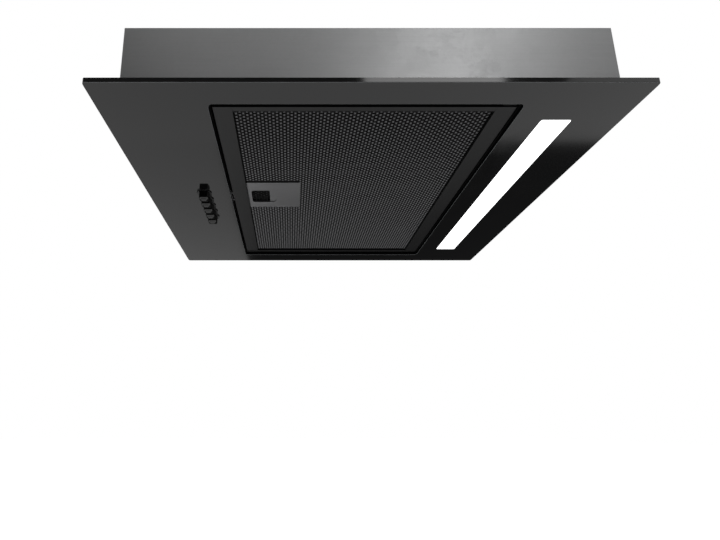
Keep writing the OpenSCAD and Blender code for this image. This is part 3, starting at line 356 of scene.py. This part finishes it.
@dataclass
class SubAssembly:
    """A named group of pieces and carried CAD nodes.

    Args:
        patterns: The shared pattern groups.
    """

    patterns: PatternGroups
    pieces: list[bpy.types.Object] = field(default_factory=list)
    carried: dict[str, Finish] = field(default_factory=dict)

    def build(self) -> None:
        """Builds the sub-assembly's own pieces; one that only carries CAD nodes builds none."""

    def dress_carried(self) -> None:
        """Gives each carried CAD node its finish."""
        for name, finish in self.carried.items():
            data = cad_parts[name].data
            data.materials.clear()
            data.materials.append(finish.material(self.patterns))

    def report(self) -> None:
        """Logs every piece and carried node of the sub-assembly."""
        for piece in self.pieces:
            LOG.info("%s: %s, %d faces", type(self).__name__, piece.name, len(piece.data.polygons))
        LOG.info("%s: carries %s", type(self).__name__, ", ".join(self.carried) or "none")

    def add(self, name: str, mesh: bpy.types.Mesh, finish: Finish, body: str, *nodes: str) -> bpy.types.Object:
        """Makes a piece of a mesh, dresses it and ties it to the frame.

        Args:
            name: The piece's name.
            mesh: Its mesh, already in place.
            finish: Its finish.
            body: The CAD body that it rides on.
            nodes: The CAD nodes that it stands for.

        Returns:
            The new piece.
        """
        piece = bpy.data.objects.new(name, mesh)
        bpy.context.scene.collection.objects.link(piece)
        mesh.materials.append(finish.material(self.patterns))
        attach(piece, body)
        if nodes:
            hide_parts(*nodes)
        self.pieces.append(piece)
        return piece

    def surface(self, name: str, points: np.ndarray, quads: np.ndarray, crease: float = 35.0) -> bpy.types.Mesh:
        """Makes a smooth mesh of points and quads.

        Args:
            name: The mesh's name.
            points: The points, in metres.
            quads: Four point numbers a face; a triangle repeats its last number.
            crease: Edges sharper than this many degrees stay sharp.

        Returns:
            The mesh, with its doubles merged and its faces pointing out.
        """
        mesh = bpy.data.meshes.new(name)
        quads = np.asarray(quads)
        mesh.from_pydata(points.reshape(-1, 3).tolist(), [], quads.tolist())
        work = bmesh.new()
        work.from_mesh(mesh)
        bmesh.ops.remove_doubles(work, verts=work.verts, dist=1e-7)
        bmesh.ops.recalc_face_normals(work, faces=work.faces)
        work.to_mesh(mesh)
        work.free()
        mesh.shade_smooth()
        mesh.set_sharp_from_angle(angle=math.radians(crease))
        return mesh

    def eased(self, node: str, name: str, finish: Finish, body: str, width: float,
              arris: Finish | None = None, segments: int = 2) -> bpy.types.Object:
        """Makes a piece like a CAD node with its sharp edges eased, to stand for it.

        Args:
            node: The CAD node.
            name: The new piece's name.
            finish: Its finish.
            body: The CAD body that it rides on.
            width: Width of the eased edge in millimetres.
            arris: Finish of the eased edge, if it has its own.
            segments: Steps across the eased edge.

        Returns:
            The new piece.
        """
        work = bmesh.new()
        work.from_mesh(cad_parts[node].data)
        bmesh.ops.remove_doubles(work, verts=work.verts, dist=2e-6)
        bmesh.ops.dissolve_limit(work, angle_limit=math.radians(0.4), verts=work.verts, edges=work.edges)
        mesh = bpy.data.meshes.new(name)
        work.to_mesh(mesh)
        work.free()
        mesh.shade_smooth()
        mesh.set_sharp_from_angle(angle=math.radians(35))
        piece = self.add(name, mesh, finish, body, node)
        ease = piece.modifiers.new("eased_edge", "BEVEL")
        ease.width = width * MM
        ease.segments = segments
        ease.limit_method = "ANGLE"
        ease.angle_limit = math.radians(40)
        ease.harden_normals = True
        if arris:
            mesh.materials.append(arris.material(self.patterns))
            ease.material = 1
        return piece


class GlassPanel(SubAssembly):
    """The black glass panel with its ground arris, and the steel carrier bonded behind it."""

    def build(self) -> None:
        """Eases the glass edges with a ground arris and carries the painted steel."""
        self.eased("glass_panel", "glass_pane", BLACK_GLASS, "hood", 0.8, ARRIS, segments=1)
        self.carried = {"panel_carrier": BLACK_PAINT, "pivot_saddles": BLACK_PAINT, "latch_keeper": SPRING_STEEL}


class Casing(SubAssembly):
    """The galvanised casing and the plenum above it, with its screws and spring clips."""

    def build(self) -> None:
        """Carries the folded sheets, the clips and the screws."""
        self.carried = {
            "casing_wrap": GALVANISED, "end_plate_left": GALVANISED, "end_plate_right": GALVANISED,
            "upper_housing": GALVANISED, "casing_screws": BRIGHT_STEEL, "housing_screws": BRIGHT_STEEL,
            "retaining_clip_left": SPRING_STEEL, "retaining_clip_right": SPRING_STEEL, "clip_screws": BRIGHT_STEEL,
        }


class Outlet(SubAssembly):
    """The duct spigot with its check flaps."""

    def build(self) -> None:
        """Carries the spigot, its screws, the flaps and their pin."""
        self.carried = {
            "outlet_spigot": BLACK_PLASTIC, "spigot_screws": BRIGHT_STEEL, "check_flap_front": GREY_PLASTIC,
            "check_flap_back": GREY_PLASTIC, "flap_pin": BRIGHT_STEEL,
        }


class Blower(SubAssembly):
    """The scroll, the wheel, the motor and its capacitor."""

    def build(self) -> None:
        """Carries the whole blower."""
        self.carried = {
            "scroll_left": GALVANISED, "scroll_right": GALVANISED, "inlet_rings": BLACK_PLASTIC,
            "impeller": BLACK_PLASTIC, "motor_shaft": BRIGHT_STEEL, "motor": MOTOR_STEEL, "motor_bearings": BRONZE,
            "motor_bracket": GALVANISED, "motor_bushes": RUBBER, "capacitor": ALUMINIUM,
            "capacitor_clip": BLACK_PLASTIC,
        }


class Wiring(SubAssembly):
    """The terminal box, its gland, and the looms."""

    def build(self) -> None:
        """Carries the box, the gland and the looms."""
        self.carried = {
            "terminal_box": BLACK_PLASTIC, "terminal_box_lid": BLACK_PLASTIC, "terminal_block": WHITE_PLASTIC,
            "cable_gland": BLACK_PLASTIC, "gland_nut": BLACK_PLASTIC, "loom_switch": SHEATH, "loom_led": SHEATH,
            "loom_motor": SHEATH,
        }


@dataclass
class SwitchRow(SubAssembly):
    """Five push buttons in their scalloped bezel.

    Args:
        reach: Half a button's width across its round ends, in millimetres.
        flat: Half its width across its flats.
        top: Height at which its visible body ends, behind the glass.
        round_edge: Radius of the rounding round a button's cap, in millimetres.
        dome: How far the middle of the cap stands above its edge, in millimetres.
        around: Points round a button.
        buttons: How many buttons there are.
    """

    reach: float = 7.5
    flat: float = 4.8
    top: float = 10.0
    round_edge: float = 2.0
    dome: float = 1.5
    around: int = 96
    buttons: int = 5

    def build(self) -> None:
        """Makes the button caps, eases the bezel and carries the switch bank."""
        for number in range(1, self.buttons + 1):
            self.button(number)
        self.eased("button_bezel", "scalloped_bezel", BLACK_PLASTIC, "hood", 0.35)
        self.carried = {"switch_bank": BLACK_PLASTIC, "button_springs": SPRING_STEEL}

    def button(self, number: int) -> None:
        """Makes one button: its outline carried up the stem and over a rounded, slightly domed cap.

        The outline is a circle cut by two flats. Ring k lies at the outline shrunk towards the axis by an
        inset and at a height: straight up the stem, a quarter circle round the edge, then a shallow dome.
        """
        low, high = (np.array(c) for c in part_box(f"push_button_{number}"))
        middle = (low + high) / 2
        reach, flat = self.reach * MM, self.flat * MM
        edge, dome = self.round_edge * MM, self.dome * MM
        turn = np.linspace(0, 2 * np.pi, self.around, endpoint=False)
        outline = np.stack([reach * np.cos(turn), np.clip(reach * np.sin(turn), -flat, flat)], axis=-1)
        step = np.linspace(0, np.pi / 2, 7)
        inset = np.concatenate([[0, 0], edge * (1 - np.cos(step)), np.linspace(edge, flat, 9)[1:-1]])
        crown = dome * (1 - (np.linspace(0, 1, 9)[1:-1] - 1) ** 2)
        height = np.concatenate([[self.top * MM], [low[2] + edge + dome], low[2] + dome + edge * (1 - np.sin(step)),
                                 low[2] + dome - crown])
        shrink = 1 - inset[:, None] / flat
        slim = 1 - inset[:, None] / reach
        rings = np.stack([outline[None, :, 0] * slim, outline[None, :, 1] * shrink,
                          np.broadcast_to(height[:, None], (len(height), self.around))], axis=-1)
        spine = np.stack([outline[:, 0] * slim[-1], np.zeros(self.around),
                          np.full(self.around, low[2])], axis=-1)[None]
        back = rings[:1] * np.array([1.0, 0.0, 1.0])
        points = np.concatenate([back, rings, spine]) + np.array([middle[0], middle[1], 0])
        mesh = self.surface(f"switch_cap_{number}", points, grid_quads(len(points), self.around), 50)
        self.add(f"switch_cap_{number}", mesh, GLOSS_BLACK, f"button_{number}", f"push_button_{number}")


class LightStrip(SubAssembly):
    """The lit opal window, its tray, board and driver."""

    def build(self) -> None:
        """Eases the opal window and carries the rest."""
        self.eased("led_diffuser", "opal_window", OPAL, "hood", 0.25)
        self.carried = {"led_board": CIRCUIT, "led_tray": WHITE_PAINT, "led_driver": WHITE_PLASTIC}


@dataclass
class GreaseFilter(SubAssembly):
    """The hinged grease filter: folded frame, expanded mesh, packed core and latch.

    Args:
        pitch: Distance between bonds along a strand, in millimetres.
        row: Distance between neighbouring strands.
        strand: Width of a strand.
        gauge: Thickness of a strand.
        lean: Angle at which a strand stands to the sheet, in degrees.
        overlap: How far the strands run in under the frame and the latch plate.
        hairline: Share of a ribbon's half width kept at a bond; above 1 it leaves a hairline gap.
    """

    pitch: float = BOND_PITCH
    row: float = 1.725
    strand: float = 0.66
    gauge: float = 0.22
    lean: float = 30.0
    overlap: float = 1.0
    hairline: float = 1.03

    def build(self) -> None:
        """Makes both mesh faces, eases the frame and the latch, and carries the rest."""
        self.eased("filter_cap_left", "frame_cap_left", FILTER_FRAME, "filter", 0.5)
        self.eased("filter_cap_right", "frame_cap_right", FILTER_FRAME, "filter", 0.5)
        self.eased("filter_rails", "frame_rails", FILTER_FRAME, "filter", 0.4)
        self.eased("latch_plate", "latch_face", LATCH_GREY, "filter", 0.35)
        self.eased("latch_slider", "latch_thumb_slide", LATCH_GREY, "latch", 0.25)
        self.mesh_face("outer_expanded_mesh", "filter_mesh_outer", True)
        self.mesh_face("inner_expanded_mesh", "filter_mesh_inner", False)
        # The core and the latch housing are darkened as painted shade behind the mesh and inside the pocket.
        self.carried = {
            "filter_mesh_core": CORE_MESH, "filter_corner_keys": BLACK_PLASTIC, "latch_housing": POCKET_BLACK,
            "latch_spring": SPRING_STEEL,
        }

    def mesh_face(self, name: str, node: str, round_plate: bool) -> None:
        """Makes one face of expanded mesh and stands it for its CAD sheet.

        Args:
            name: The piece's name.
            node: The CAD sheet.
            round_plate: Whether the strands stop at the latch plate.
        """
        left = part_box("filter_cap_left")[1].x - self.overlap * MM
        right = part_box("filter_cap_right")[0].x + self.overlap * MM
        low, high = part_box(node)
        level = (low.z + high.z) / 2
        plate_low, plate_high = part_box("latch_plate")
        row = self.row * MM
        rows = np.arange(math.ceil((low.y + 4 * MM) / row), math.floor((high.y - 4 * MM) / row))
        middle = (rows + 0.5) * row
        short = (middle > plate_low.y - 3.2 * MM) & (middle < plate_high.y - 1.2 * MM)
        if not round_plate:
            short[:] = False
        points, quads, total = [], [], 0
        for chosen, start in ((rows[~short], left), (rows[short], plate_high.x - self.overlap * MM)):
            if len(chosen):
                some, faces = self.strands(chosen, start, right, level)
                points.append(some)
                quads.append(faces + total)
                total += len(some)
        mesh = self.surface(name, np.concatenate(points), np.concatenate(quads), 50)
        # The mesh finish paints highlights on the bonds and shade on the legs.
        self.add(name, mesh, FILTER_MESH, "filter", node)

    def strands(self, rows: np.ndarray, start: float, stop: float,
                level: float) -> tuple[np.ndarray, np.ndarray]:
        """Works out parallel strands of expanded metal between two places along X.

        Strand k runs along X and swings between the lines k and k + 1 of the row pitch, flat at both ends of
        its swing, so that it meets its neighbours side by side at the bonds. It is a flat ribbon that leans by
        one angle all along, and it climbs by half its leaning width at each end of the swing, so that the two
        ribbons of a bond make one leaning face with a hairline between them.

        Args:
            rows: Numbers of the strands.
            start: Where they begin along X.
            stop: Where they end.
            level: Height of the middle of the sheet.

        Returns:
            The points and the quads, ends closed.
        """
        pitch, row = self.pitch * MM, self.row * MM
        phases = np.array([0.07, 0.43, 0.57, 0.93])
        turns = np.arange(math.floor(start / pitch) - 1, math.ceil(stop / pitch) + 1)
        along = (turns[:, None] + phases).ravel() * pitch
        along = np.concatenate([[start], along[(along > start + 0.2 * MM) & (along < stop - 0.2 * MM)], [stop]])
        wave = np.clip((4 * np.abs(along / pitch % 1.0 - 0.5) - 1) / 0.72, -1, 1)
        swing = np.where(rows % 2 == 0, 1.0, -1.0)[:, None] * wave
        lean = math.radians(self.lean)
        half, thick = self.strand / 2 * MM, self.gauge / 2 * MM
        across = (rows[:, None] + 0.5) * row + swing * (row / 2 - self.hairline * half * math.cos(lean))
        lift = level + swing * half * math.sin(lean)
        corner = np.array([[-half, -thick], [half, -thick], [half, thick], [-half, thick]])
        turned = corner @ np.array([[math.cos(lean), -math.sin(lean)], [math.sin(lean), math.cos(lean)]])
        points = np.empty((len(rows), len(along), 4, 3))
        points[..., 0] = along[None, :, None]
        points[..., 1] = across[..., None] + turned[:, 0]
        points[..., 2] = lift[..., None] + turned[:, 1]
        size = len(along) * 4
        body = grid_quads(len(along), 4)
        ends = np.array([[3, 2, 1, 0], [size - 4, size - 3, size - 2, size - 1]])
        one = np.concatenate([body, ends])
        quads = (one[None] + (np.arange(len(rows)) * size)[:, None, None]).reshape(-1, 4)
        return points.reshape(-1, 3), quads


@dataclass(frozen=True)
class Softbox:
    """One soft studio light.

    Args:
        name: Its name.
        place: Where its middle is.
        aim: The point that it faces.
        size: Its width and height.
        radiance: How bright its face is; 1 is white.
    """

    name: str
    place: Colour
    aim: Colour
    size: tuple[float, float]
    radiance: float

    def build(self) -> None:
        """Makes the light, unseen by the camera itself."""
        lamp = bpy.data.lights.new(self.name, "AREA")
        lamp.shape = "RECTANGLE"
        lamp.size, lamp.size_y = self.size
        lamp.energy = self.radiance * math.pi * self.size[0] * self.size[1]
        holder = bpy.data.objects.new(self.name, lamp)
        bpy.context.scene.collection.objects.link(holder)
        holder.location = self.place
        holder.rotation_euler = (Vector(self.aim) - Vector(self.place)).to_track_quat("-Z", "Y").to_euler()
        holder.visible_camera = False


@dataclass(frozen=True)
class Studio:
    """Plain pale floor, soft lights and the camera.

    Args:
        floor_z: Height of the floor; the hood hangs above it.
        floor_half: Half the floor's side.
        lens: The camera's focal length in millimetres on a 36 mm sensor.
        stand: Where the camera stands.
        pitch: How far it looks up, in degrees.
        shift: Its lens shift.
    """

    floor_z: float = -1.0
    floor_half: float = 15.0
    lens: float = 13.51
    stand: Colour = (-0.0836, -0.385, -0.3603)
    pitch: float = 7.42
    shift: tuple[float, float] = (0.0965, 0.17)

    def build(self) -> None:
        """Sets up the floor, the world, the lights and the camera."""
        self.floor()
        self.world()
        self.lights()
        self.camera()
        scene = bpy.context.scene
        scene.view_settings.view_transform = "Standard"

    def floor(self) -> None:
        """Lays the floor, unseen by diffuse and glossy rays."""
        half = self.floor_half
        mesh = bpy.data.meshes.new("studio_floor")
        corners = [(-half, -half, self.floor_z), (half, -half, self.floor_z),
                   (half, half, self.floor_z), (-half, half, self.floor_z)]
        mesh.from_pydata(corners, [], [(0, 1, 2, 3)])
        paint = bpy.data.materials.new("pale_floor_paint")
        paint.use_nodes = True
        shader = paint.node_tree.nodes["Principled BSDF"]
        shader.inputs["Base Color"].default_value = (0.86, 0.86, 0.86, 1)
        shader.inputs["Roughness"].default_value = 0.9
        shader.inputs["Emission Color"].default_value = (1, 1, 1, 1)
        shader.inputs["Emission Strength"].default_value = 1.0
        mesh.materials.append(paint)
        floor = bpy.data.objects.new("studio_floor", mesh)
        bpy.context.scene.collection.objects.link(floor)
        floor.visible_glossy = False
        floor.visible_diffuse = False

    def world(self) -> None:
        """Makes a white backdrop that lights the object only dimly."""
        world = bpy.data.worlds.new("studio_world")
        world.use_nodes = True
        world.node_tree.nodes.clear()
        tree = Tree(world.node_tree)
        seen = tree.node("ShaderNodeBackground", {"Color": (1, 1, 1, 1), "Strength": 1.0})
        dim = tree.node("ShaderNodeBackground", {"Color": (1, 1, 1, 1), "Strength": 0.06})
        ray = tree.node("ShaderNodeLightPath")
        mixed = tree.node("ShaderNodeMixShader", {0: ray.outputs["Is Camera Ray"], 1: dim.outputs[0],
                                                  2: seen.outputs[0]})
        tree.node("ShaderNodeOutputWorld", {"Surface": mixed.outputs[0]})
        bpy.context.scene.world = world

    def lights(self) -> None:
        """Places the softboxes: two low ones under the near and left sides, and a tent round the top."""
        boxes = (
            Softbox("low_near", (0.25, 0.05, -0.9), (0.25, 0.05, 0.0), (3.4, 1.2), 0.95),
            Softbox("low_left", (-1.15, 1.3, -0.9), (-1.15, 1.3, 0.0), (1.5, 1.3), 0.9),
            Softbox("key", (0.75, -1.25, 1.35), (0.1, 0.0, 0.05), (0.7, 0.9), 2.0),
            Softbox("top", (0.0, 0.0, 2.2), (0.0, 0.0, 0.0), (2.4, 2.4), 0.9),
            Softbox("near_wall", (0.0, -2.4, 1.3), (0.0, 0.0, 0.0), (3.4, 2.0), 0.08),
            Softbox("back_wall", (0.0, 2.4, 1.2), (0.0, 0.0, 0.0), (3.4, 2.0), 0.7),
            Softbox("left_wall", (-2.4, 0.0, 1.2), (0.0, 0.0, 0.0), (3.0, 2.0), 0.25),
            Softbox("right_wall", (2.4, 0.0, 1.2), (0.0, 0.0, 0.0), (3.0, 2.0), 0.35),
        )
        for box in boxes:
            box.build()

    def camera(self) -> None:
        """Sets the camera below and in front of the hood, square to it and tipped up."""
        lens = bpy.data.cameras.new("camera")
        lens.sensor_width = 36.0
        lens.lens = self.lens
        lens.shift_x, lens.shift_y = self.shift
        holder = bpy.data.objects.new("camera", lens)
        bpy.context.scene.collection.objects.link(holder)
        holder.location = self.stand
        holder.rotation_euler = (math.radians(90 + self.pitch), 0, 0)
        bpy.context.scene.camera = holder


def main() -> None:
    """Builds the studio and every sub-assembly in order, and reports each piece."""
    logging.basicConfig(level=logging.INFO, format="%(name)s %(message)s")
    Studio().build()
    patterns = PatternGroups()
    for kind in (GlassPanel, Casing, Outlet, Blower, Wiring, SwitchRow, LightStrip, GreaseFilter):
        part = kind(patterns)
        part.build()
        part.dress_carried()
        part.report()


if __name__ == "__main__":
    main()
